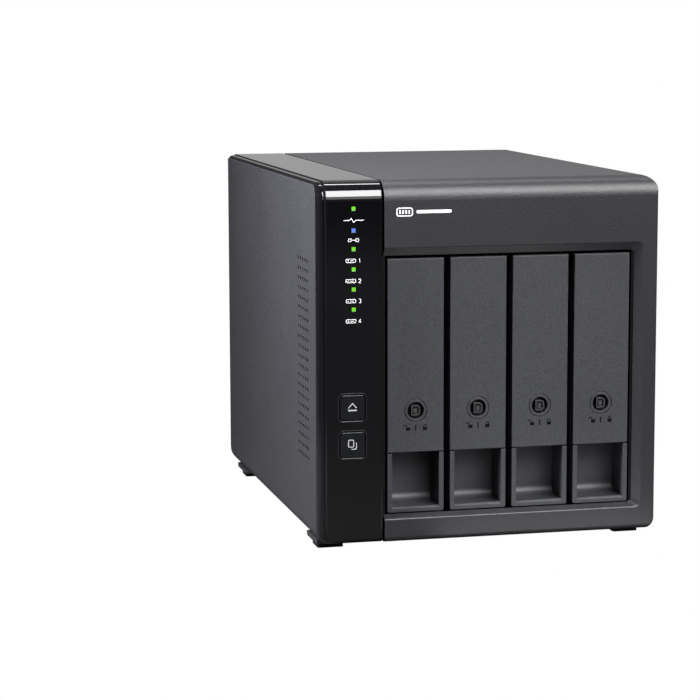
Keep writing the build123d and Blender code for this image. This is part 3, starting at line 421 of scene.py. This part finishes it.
def middle_of(node):
    """Centre of a node's box in X and Z, in millimetres, and its face towards the front in metres."""
    low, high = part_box(node)
    return (low[0] + high[0]) / 2 / MM, (low[2] + high[2]) / 2 / MM, low[1]


def levels_of(node):
    """Heights of the middles of a node's separate solids, from the top, in millimetres."""
    apart = 3       # the least gap between one solid and the next
    heights = sorted((vert.co.z / MM for vert in frame["nodes"][node].data.vertices), reverse=True)
    groups = [[heights[0]]]
    for height in heights:
        if groups[-1][-1] - height > apart:
            groups.append([])
        groups[-1].append(height)
    return [(group[0] + group[-1]) / 2 for group in groups]


def strip_legends():
    """Small white symbols under the lamps: activity, link, and a drive with its number for each bay."""
    x, _, lens_face = middle_of("lens_green")
    art = Artwork(lens_face - LENS_SUNK)
    status, *drives = levels_of("lens_green")
    drop, tall = 6.1, 1.75      # from a lamp down to the foot of its symbol, and the symbol's height
    bold, fine = 0.36, 0.3      # widths of the strokes
    foot = status - drop
    mid = foot + tall / 2
    pulse = [(-4.6, mid), (-1.9, mid), (-1.1, foot + tall), (0.1, foot), (0.9, mid), (4.6, mid)]
    art.line([(x + across, z) for across, z in pulse], bold)
    _, link, _ = middle_of("lens_blue")
    mid = link - 4.35
    reach, half = 1.7, 0.62     # to the middle of each square of the link, and half its side
    for side in (-1, 1):
        centre = x + side * reach
        square = rounded(centre - half, centre + half, mid - half, mid + half, 0.15, 2)
        art.line(square, fine, True)
    art.bar(x - 1.0, x + 1.0, mid - 0.17, mid + 0.17, 0.05)
    margin = 0.12               # keeps the stroke around a drive within the symbol's height
    for bay, lens in zip(BAYS, drives):
        foot = lens - drop
        mid = foot + tall / 2
        drive = rounded(x - 3.5, x + 0.9, foot + margin, foot + tall - margin, 0.35, 3)
        art.line(drive, fine, True)
        art.dot(x - 2.5, mid, 0.26)
        art.bar(x - 1.6, x + 0.1, mid - 0.14, mid + 0.14, 0.05)
        art.numeral(bay, x + 2.8, foot, tall)
    art.piece("strip_legends", "case", "print_white")


def button_symbols():
    """Eject and copy symbols on the two front buttons."""
    stroke = 0.42
    x, z, face = middle_of("eject_button")
    art = Artwork(face)
    art.line([(x - 1.9, z - 0.2), (x, z + 1.95), (x + 1.9, z - 0.2)], stroke)
    art.bar(x - 2.05, x + 2.05, z - 1.5, z - 0.85)
    art.piece("eject_symbol", "eject", "print_silver")
    x, z, face = middle_of("copy_button")
    art = Artwork(face)
    art.line(rounded(x - 1.9, x + 0.5, z - 1.0, z + 2.2, 0.5, 3), stroke, True)
    sheet = [(x + 1.75, z + 1.0)] + arc(x + 1.25, z - 1.5, 0.5, 0, -90, 4) + [(x - 0.6, z - 2.0)]
    art.line(sheet, stroke)
    art.piece("copy_symbol", "copy", "print_silver")


def emblem():
    """A plain mark above the bays: a frame with four bars for the four bays, and a long bar."""
    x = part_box("tray_handle_1")[0][0] / MM + 3.3
    low, high = 152.3, 156.3                # foot and top of the mark
    mid = (low + high) / 2
    rim, stroke = 0.25, 0.55                # the frame: its inset from foot and top, and its width
    pitch, half, inset = 1.42, 0.38, 1.1    # the four bars: pitch, half width, inset from foot and top
    art = Artwork(EMBLEM_FACE)
    art.line(rounded(x + rim, x + 7.35, low + rim, high - rim, 0.9), stroke, True)
    for bay in BAYS:
        centre = x + rim + bay * pitch
        art.bar(centre - half, centre + half, low + inset, high - inset, 0.15)
    art.bar(x + 9.2, x + 25.6, mid - 0.75, mid + 0.75, 0.7)
    art.piece("front_emblem", "case", "print_white")


def padlock(art, x, z, open_side):
    """A small padlock, its shackle swung clear when open."""
    shift, free_end = (-1.3, 0.45) if open_side else (0.0, 0.1)
    bow = 0.65
    art.bar(x - 1.0, x + 1.0, z - 1.35, z + 0.15, 0.2)
    shackle = [(x + shift - bow, z + free_end)]
    shackle += arc(x + shift, z + 0.62, bow, 180, 0, 8)
    shackle += [(x + shift + bow, z + 0.1)]
    art.line(shackle, 0.36)


def lock_symbols():
    """Dark marks for locked and unlocked below each lock."""
    drop = 7.8
    for bay in BAYS:
        x, z, _ = middle_of(f"lock_ring_{bay}")
        art = Artwork(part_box(f"tray_handle_{bay}")[0][1])
        padlock(art, x - 3.6, z - drop, True)
        art.bar(x - 0.3, x + 0.3, z - 9.3, z - 6.6, 0.1)
        padlock(art, x + 4.4, z - drop, False)
        art.piece(f"lock_symbols_{bay}", f"handle_{bay}", "print_navy")


def lock_posts():
    """The pale D-shaped sleeve in each lock that the key turns."""
    left, right = 1.7, 0.65         # from the axis to the flat and to the middles of the corners
    half, bend = 0.8, 1.32          # half the straight part of the round side, and the corners' radius
    deep, sunk = 2.2 * MM, 0.5 * MM     # of the sleeve, and of the face inside it
    for bay in BAYS:
        x, z, _ = middle_of(f"lock_ring_{bay}")
        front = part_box(f"lock_core_{bay}")[0][1]
        art = Artwork(front)
        art.back = front + deep
        curve = arc(x + right, z + half, bend, 90, 0, 6) + arc(x + right, z - half, bend, 0, -90, 6)
        sleeve = curve + [(x - left, z - half - bend), (x - left, z + half + bend)]
        art.line(sleeve, 0.5, True)
        art.front = front + sunk
        art.fill(sleeve)
        art.piece(f"lock_post_{bay}", f"lock_{bay}", "post_plastic")


def rear_symbols():
    """White symbols beside the buttons, switches and sockets at the back."""
    bold, fine = 0.35, 0.3      # widths of the strokes
    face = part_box("rear_panel")[1][1]
    art = Artwork(face, 1)
    x, z, _ = middle_of("power_button")
    side = x + 8.6
    art.line(arc(side, z, 1.5, 60, -240, 20), bold)
    art.bar(side - 0.18, side + 0.18, z + 0.2, z + 2.0, 0.05)
    x, z, _ = middle_of("set_button")
    side = x + 8.6
    art.line(arc(side, z, 1.3, 40, 320, 20), bold)
    art.fill([(side + 0.3, z + 1.5), (side + 1.9, z + 1.2), (side + 1.1, z - 0.1)])
    for number in (1, 2, 3):
        x, z, _ = middle_of(f"dip_slider_{number}")
        art.numeral(number, x, z - 7.6, 1.5, 0.26)
    x, z, _ = middle_of("usb_c_port")
    side = x + 9.0
    art.line([(side, z - 2.4), (side, z + 1.6)], bold)
    art.fill([(side - 0.7, z + 1.4), (side + 0.7, z + 1.4), (side, z + 2.7)])
    art.line([(side, z - 1.2), (side - 1.3, z - 0.2), (side - 1.3, z + 0.6)], fine)
    art.line([(side, z - 0.5), (side + 1.3, z + 0.5), (side + 1.3, z + 1.1)], fine)
    art.dot(side, z - 2.5, 0.55)
    x, z, _ = middle_of("dc_jack")
    side = x + 10.0
    art.line(arc(side, z, 1.5, 20, 340, 20), bold)
    art.dot(side, z, 0.6)
    art.line([(side - 3.4, z), (side - 0.6, z)], bold)
    art.line([(side + 1.5, z), (side + 3.4, z)], bold)
    art.piece("rear_symbols", "case", "print_white")


# ---------------------------------------------------------------- small fittings


def skin(mesh, rings):
    """Faces between closed rings of vertices, from each ring to the next."""
    for ring, following in zip(rings, rings[1:]):
        for index in range(len(ring)):
            after = (index + 1) % len(ring)
            mesh.faces.new((ring[index], ring[after], following[after], following[index]))


def button_beads():
    """A fine raised bead in the strip around each front button."""
    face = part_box("lens_green")[0][1] - LENS_SUNK
    gap, wide = 0.5, 0.45           # from the button to the bead, and across the bead
    crest, buried = 0.05, 0.01      # height above the strip, and depth of the bead's edges in it
    corner, steps = 1.6, 6
    flange = 0.8                    # part of the button behind the strip
    for name in ("eject", "copy"):
        low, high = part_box(f"{name}_button")
        x0, x1 = low[0] / MM + flange, high[0] / MM - flange
        z0, z1 = low[2] / MM + flange, high[2] / MM - flange
        mesh = bmesh.new()
        rings = []
        for step in range(steps + 1):
            share = step / steps
            out = gap + wide * share
            y = face - (crest * sin(pi * share) - buried) * MM
            points = rounded(x0 - out, x1 + out, z0 - out, z1 + out, corner + out, 6)
            rings.append([mesh.verts.new((x * MM, y, z * MM)) for x, z in points])
        skin(mesh, rings)
        bead = as_piece(f"{name}_bead", mesh, "case", "bead_gloss")
        for facet in bead.data.polygons:
            facet.use_smooth = True


def chunk(mesh, centre, size, ease=0.15):
    """A block with eased edges, in millimetres."""
    place = Matrix.Translation([c * MM for c in centre]) @ Matrix.Diagonal([*(s * MM for s in size), 1])
    made = bmesh.ops.create_cube(mesh, size=1.0, matrix=place)["verts"]
    edges = {edge for vert in made for edge in vert.link_edges}
    bmesh.ops.bevel(mesh, geom=list(edges), offset=ease * MM, segments=2, affect="EDGES", profile=0.5)


def can(mesh, centre, radius, tall, axis):
    """A capacitor can along an axis, with a rolled rim and a crimped foot."""
    turn = Vector(axis).to_track_quat("Z", "Y").to_matrix().to_4x4()
    place = Matrix.Translation([c * MM for c in centre]) @ turn
    sides = 24
    # Shares of the radius and of the height, from the foot up
    foot = ((0.92, 0.0), (1.0, 0.06), (1.0, 0.16), (0.93, 0.2), (1.0, 0.25))
    rim = ((1.0, 0.95), (0.93, 1.0), (0.86, 0.98))
    rings = []
    for share, level in foot + rim:
        turns = [2 * pi * side / sides for side in range(sides)]
        out = radius * share
        ring = [Vector((out * cos(t), out * sin(t), tall * level)) * MM for t in turns]
        rings.append([mesh.verts.new(place @ point) for point in ring])
    skin(mesh, rings)
    mesh.faces.new(rings[-1])


def main_board_fittings():
    """Capacitors, chips, coils and resistors on the outer face of the main board."""
    low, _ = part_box("main_board")
    face = low[0] / MM
    cans = bmesh.new()
    for step in range(4):
        can(cans, (face, 96.0 - 11.0 * step, 34.0), radius=3.1, tall=8.0, axis=(-1, 0, 0))
    as_piece("board_cans", cans, "case", "can_aluminium")
    chips = bmesh.new()
    thick = 1.2
    layout = ((70, 60, 12, 12), (84, 66, 7, 5), (40, 64, 8, 6), (72, 118, 10, 10), (44, 120, 6, 9))
    for y, z, wide, tall in layout:
        chunk(chips, (face - thick / 2, y, z), (thick, wide, tall))
    coil = 4.0
    for step in range(3):
        chunk(chips, (face - coil / 2, 58.0 - 9.5 * step, 40.0), (coil, 7.4, 7.4), 0.5)
    as_piece("board_chips", chips, "case", "chip_black")
    small = bmesh.new()
    thin = 0.6
    for row in range(7):
        for column in range(3):
            place = (face - thin / 2, 60.0 + 3.4 * column, 76.0 + 2.6 * row)
            chunk(small, place, (thin, 1.6, 0.8), 0.08)
    as_piece("board_resistors", small, "case", "chip_white")


def backplane_fittings():
    """Small parts on the front of the backplane, above and below the drive connectors."""
    face = middle_of("backplane_board")[2] / MM
    thick, thin = 1.0, 0.5
    above, below = 90.0, 30.0
    chips = bmesh.new()
    small = bmesh.new()
    for bay in BAYS:
        x, _, _ = middle_of(f"tray_front_{bay}")
        chunk(chips, (x - 6.0, face - thick / 2, 82.0), (5.0, thick, 5.0))
        for step in range(5):
            for z in (above, below):
                chunk(small, (x - 8.0 + 1.8 * step, face - thin / 2, z), (0.8, thin, 1.6), 0.08)
    as_piece("backplane_chips", chips, "case", "chip_black")
    as_piece("backplane_capacitors", small, "case", "chip_white")


def connector_contacts():
    """Gold contacts in the slots of each drive connector."""
    low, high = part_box("sata_connectors")
    width = 6.0                                 # of one connector
    pitch = ((high[0] - low[0]) / MM - width) / (len(BAYS) - 1)
    first = low[0] / MM
    slots = ((38.5, 59.0), (61.0, 71.5))        # lower and upper end of the two slots
    spacing = 1.27                              # from contact to contact
    start, spare = 1.0, 1.4                     # the first one's height in its slot, and length left free
    mesh = bmesh.new()
    for bay in BAYS:
        x = first + (bay - 1) * pitch
        for z0, z1 in slots:
            count = int((z1 - z0 - spare) / spacing)
            for step in range(count + 1):
                place = (x + 1.68, low[1] / MM + 2.2, z0 + start + spacing * step)
                chunk(mesh, place, (0.16, 2.6, 0.7), 0.03)
    as_piece("connector_contacts", mesh, "case", "contact_gold")


def fan_label():
    """Plain foil disc on the bearing of the fan, seen through the grille."""
    x, z, _ = middle_of("fan_frame")
    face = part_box("fan_frame")[1][1]
    art = Artwork(face, 1)
    art.dot(x, z, 17.5)
    art.piece("fan_label", "case", "label_foil")
    art = Artwork(face + PRINT, 1)
    art.line(arc(x, z, 14.0, 0, 350, 48), 0.6, True)
    art.line(arc(x, z, 9.0, 40, 140, 12), 1.2)
    art.line(arc(x, z, 9.0, 220, 320, 12), 1.2)
    art.piece("fan_label_rings", "case", "print_navy")


strip_legends()
button_symbols()
emblem()
lock_symbols()
lock_posts()
rear_symbols()
button_beads()
main_board_fittings()
backplane_fittings()
connector_contacts()
fan_label()


# ---------------------------------------------------------------- the studio


def aimed(position, target):
    """A placement at one point, looking at another."""
    turn = (Vector(target) - Vector(position)).to_track_quat("-Z", "Y")
    return Matrix.Translation(position) @ turn.to_matrix().to_4x4()


def softbox(name, position, target, size, radiance):
    """A rectangular light of the given size and brightness, unseen by the camera."""
    data = bpy.data.lights.new(name, "AREA")
    data.shape = "RECTANGLE"
    data.size, data.size_y = size
    data.energy = radiance * pi * size[0] * size[1]
    lamp = bpy.data.objects.new(name, data)
    lamp.matrix_world = aimed(position, target)
    lamp.visible_camera = False
    bpy.context.scene.collection.objects.link(lamp)
    return lamp


def wash(name, **settings):
    """A softbox that gives light without showing as a reflection."""
    softbox(name, **settings).visible_glossy = False


def camera():
    """The view of the three-quarter front, from a little above."""
    data = bpy.data.cameras.new("camera")
    data.lens = 121.21              # millimetres
    data.sensor_width = 36.0
    made = bpy.data.objects.new("camera", data)
    place = (-0.30452, -1.1247, 0.24091)
    yaw, pitch, roll = 0.2314, 0.1408, -0.0029      # radians: to the right, down and about the axis
    turn = Euler((pi / 2 - pitch, 0, -yaw)).to_matrix().to_4x4() @ Matrix.Rotation(roll, 4, "Z")
    made.matrix_world = Matrix.Translation(place) @ turn
    bpy.context.scene.collection.objects.link(made)
    bpy.context.scene.camera = made


def pale_floor():
    """Plain white floor. It is seen white, and gives the case only a little light back."""
    half = 6.0
    given_back = 0.03       # share of the light that the floor returns
    mesh = bpy.data.meshes.new("floor")
    corners = [(-half, -half, 0), (half, -half, 0), (half, half, 0), (-half, half, 0)]
    mesh.from_pydata(corners, [], [(0, 1, 2, 3)])
    floor = bpy.data.objects.new("floor", mesh)
    bpy.context.scene.collection.objects.link(floor)
    material = bpy.data.materials.new("floor_white")
    material.use_nodes = True
    tree = material.node_tree
    tree.nodes.clear()
    output = tree.nodes.new("ShaderNodeOutputMaterial")
    mix = tree.nodes.new("ShaderNodeMixShader")
    path = tree.nodes.new("ShaderNodeLightPath")
    dim = tree.nodes.new("ShaderNodeBsdfDiffuse")
    dim.inputs["Color"].default_value = (given_back, given_back, given_back, 1)
    white = tree.nodes.new("ShaderNodeEmission")
    white.inputs["Color"].default_value = (1, 1, 1, 1)
    tree.links.new(path.outputs["Is Camera Ray"], mix.inputs["Fac"])
    tree.links.new(dim.outputs[0], mix.inputs[1])
    tree.links.new(white.outputs[0], mix.inputs[2])
    tree.links.new(mix.outputs[0], output.inputs["Surface"])
    mesh.materials.append(material)


def ramp(tree, value, source, to):
    """A value eased from one range to another."""
    eased = tree.nodes.new("ShaderNodeMapRange")
    eased.interpolation_type = "SMOOTHSTEP"
    for index, number in enumerate((*source, *to), start=1):
        eased.inputs[index].default_value = number
    tree.links.new(value, eased.inputs[0])
    return eased.outputs[0]


def surroundings():
    """White to the camera; to the case a dim room that brightens behind it and to its right."""
    world = bpy.data.worlds.new("studio")
    world.use_nodes = True
    bpy.context.scene.world = world
    tree = world.node_tree
    tree.nodes.clear()
    output = tree.nodes.new("ShaderNodeOutputWorld")
    mix = tree.nodes.new("ShaderNodeMixShader")
    path = tree.nodes.new("ShaderNodeLightPath")
    seen = tree.nodes.new("ShaderNodeBackground")
    room = tree.nodes.new("ShaderNodeBackground")
    place = tree.nodes.new("ShaderNodeTexCoord")
    axes = tree.nodes.new("ShaderNodeSeparateXYZ")
    tree.links.new(place.outputs["Generated"], axes.inputs[0])
    strength = tree.nodes.new("ShaderNodeMath")
    strength.operation = "MULTIPLY"
    behind = ramp(tree, axes.outputs["Y"], source=(0.2, 0.8), to=(0.05, 0.47))
    rightwards = ramp(tree, axes.outputs["X"], source=(0.0, 0.16), to=(0.12, 1.0))
    tree.links.new(behind, strength.inputs[0])
    tree.links.new(rightwards, strength.inputs[1])
    tree.links.new(strength.outputs[0], room.inputs["Strength"])
    tree.links.new(path.outputs["Is Camera Ray"], mix.inputs["Fac"])
    tree.links.new(room.outputs[0], mix.inputs[1])
    tree.links.new(seen.outputs[0], mix.inputs[2])
    tree.links.new(mix.outputs[0], output.inputs["Surface"])
    seen.inputs["Color"].default_value = (1, 1, 1, 1)
    room.inputs["Color"].default_value = (1.0, 0.985, 1.0, 1)


def lights():
    """A soft key with a dim skirt, a strip overhead, a bounce from the floor, and washes for the sides."""
    middle = (cad_low + cad_high) / 2
    upper_front = (cad_low.x, cad_low.y * 0.6, cad_high.z * 0.7)    # of the left side
    across, ahead = 0.035, -0.136       # under the bays, right of their middle, just in front of the case
    softbox("key", position=(0.45, -1.15, 1.12), target=middle, size=(1.1, 0.90), radiance=12.5)
    softbox("skirt", position=(0.45, -1.45, 0.56), target=middle, size=(1.3, 0.28), radiance=1.6)
    softbox("overhead", position=(0.1, 0.32, 1.5), target=middle, size=(1.3, 0.11), radiance=15.0)
    softbox(
        "bounce", position=(across, ahead, 0.002), target=(across, ahead + 0.02, 1.0),
        size=(0.11, 0.035), radiance=1.8,
    )
    wash("front_wash", position=(0.75, -1.2, 0.4), target=middle, size=(0.7, 0.6), radiance=4.5)
    wash("left_wash", position=(-0.30, -0.12, 0.26), target=upper_front, size=(0.08, 0.25), radiance=116.0)
    wash("right_wash", position=(0.70, 0.1, 0.08), target=middle, size=(0.5, 0.14), radiance=40.0)
    wash("back_wash", position=(0.35, 0.70, 0.08), target=middle, size=(0.6, 0.14), radiance=40.0)


def studio():
    """Camera, floor, room and lights, in metres."""
    camera()
    pale_floor()
    surroundings()
    lights()
    bpy.context.scene.view_settings.view_transform = "Standard"


studio()
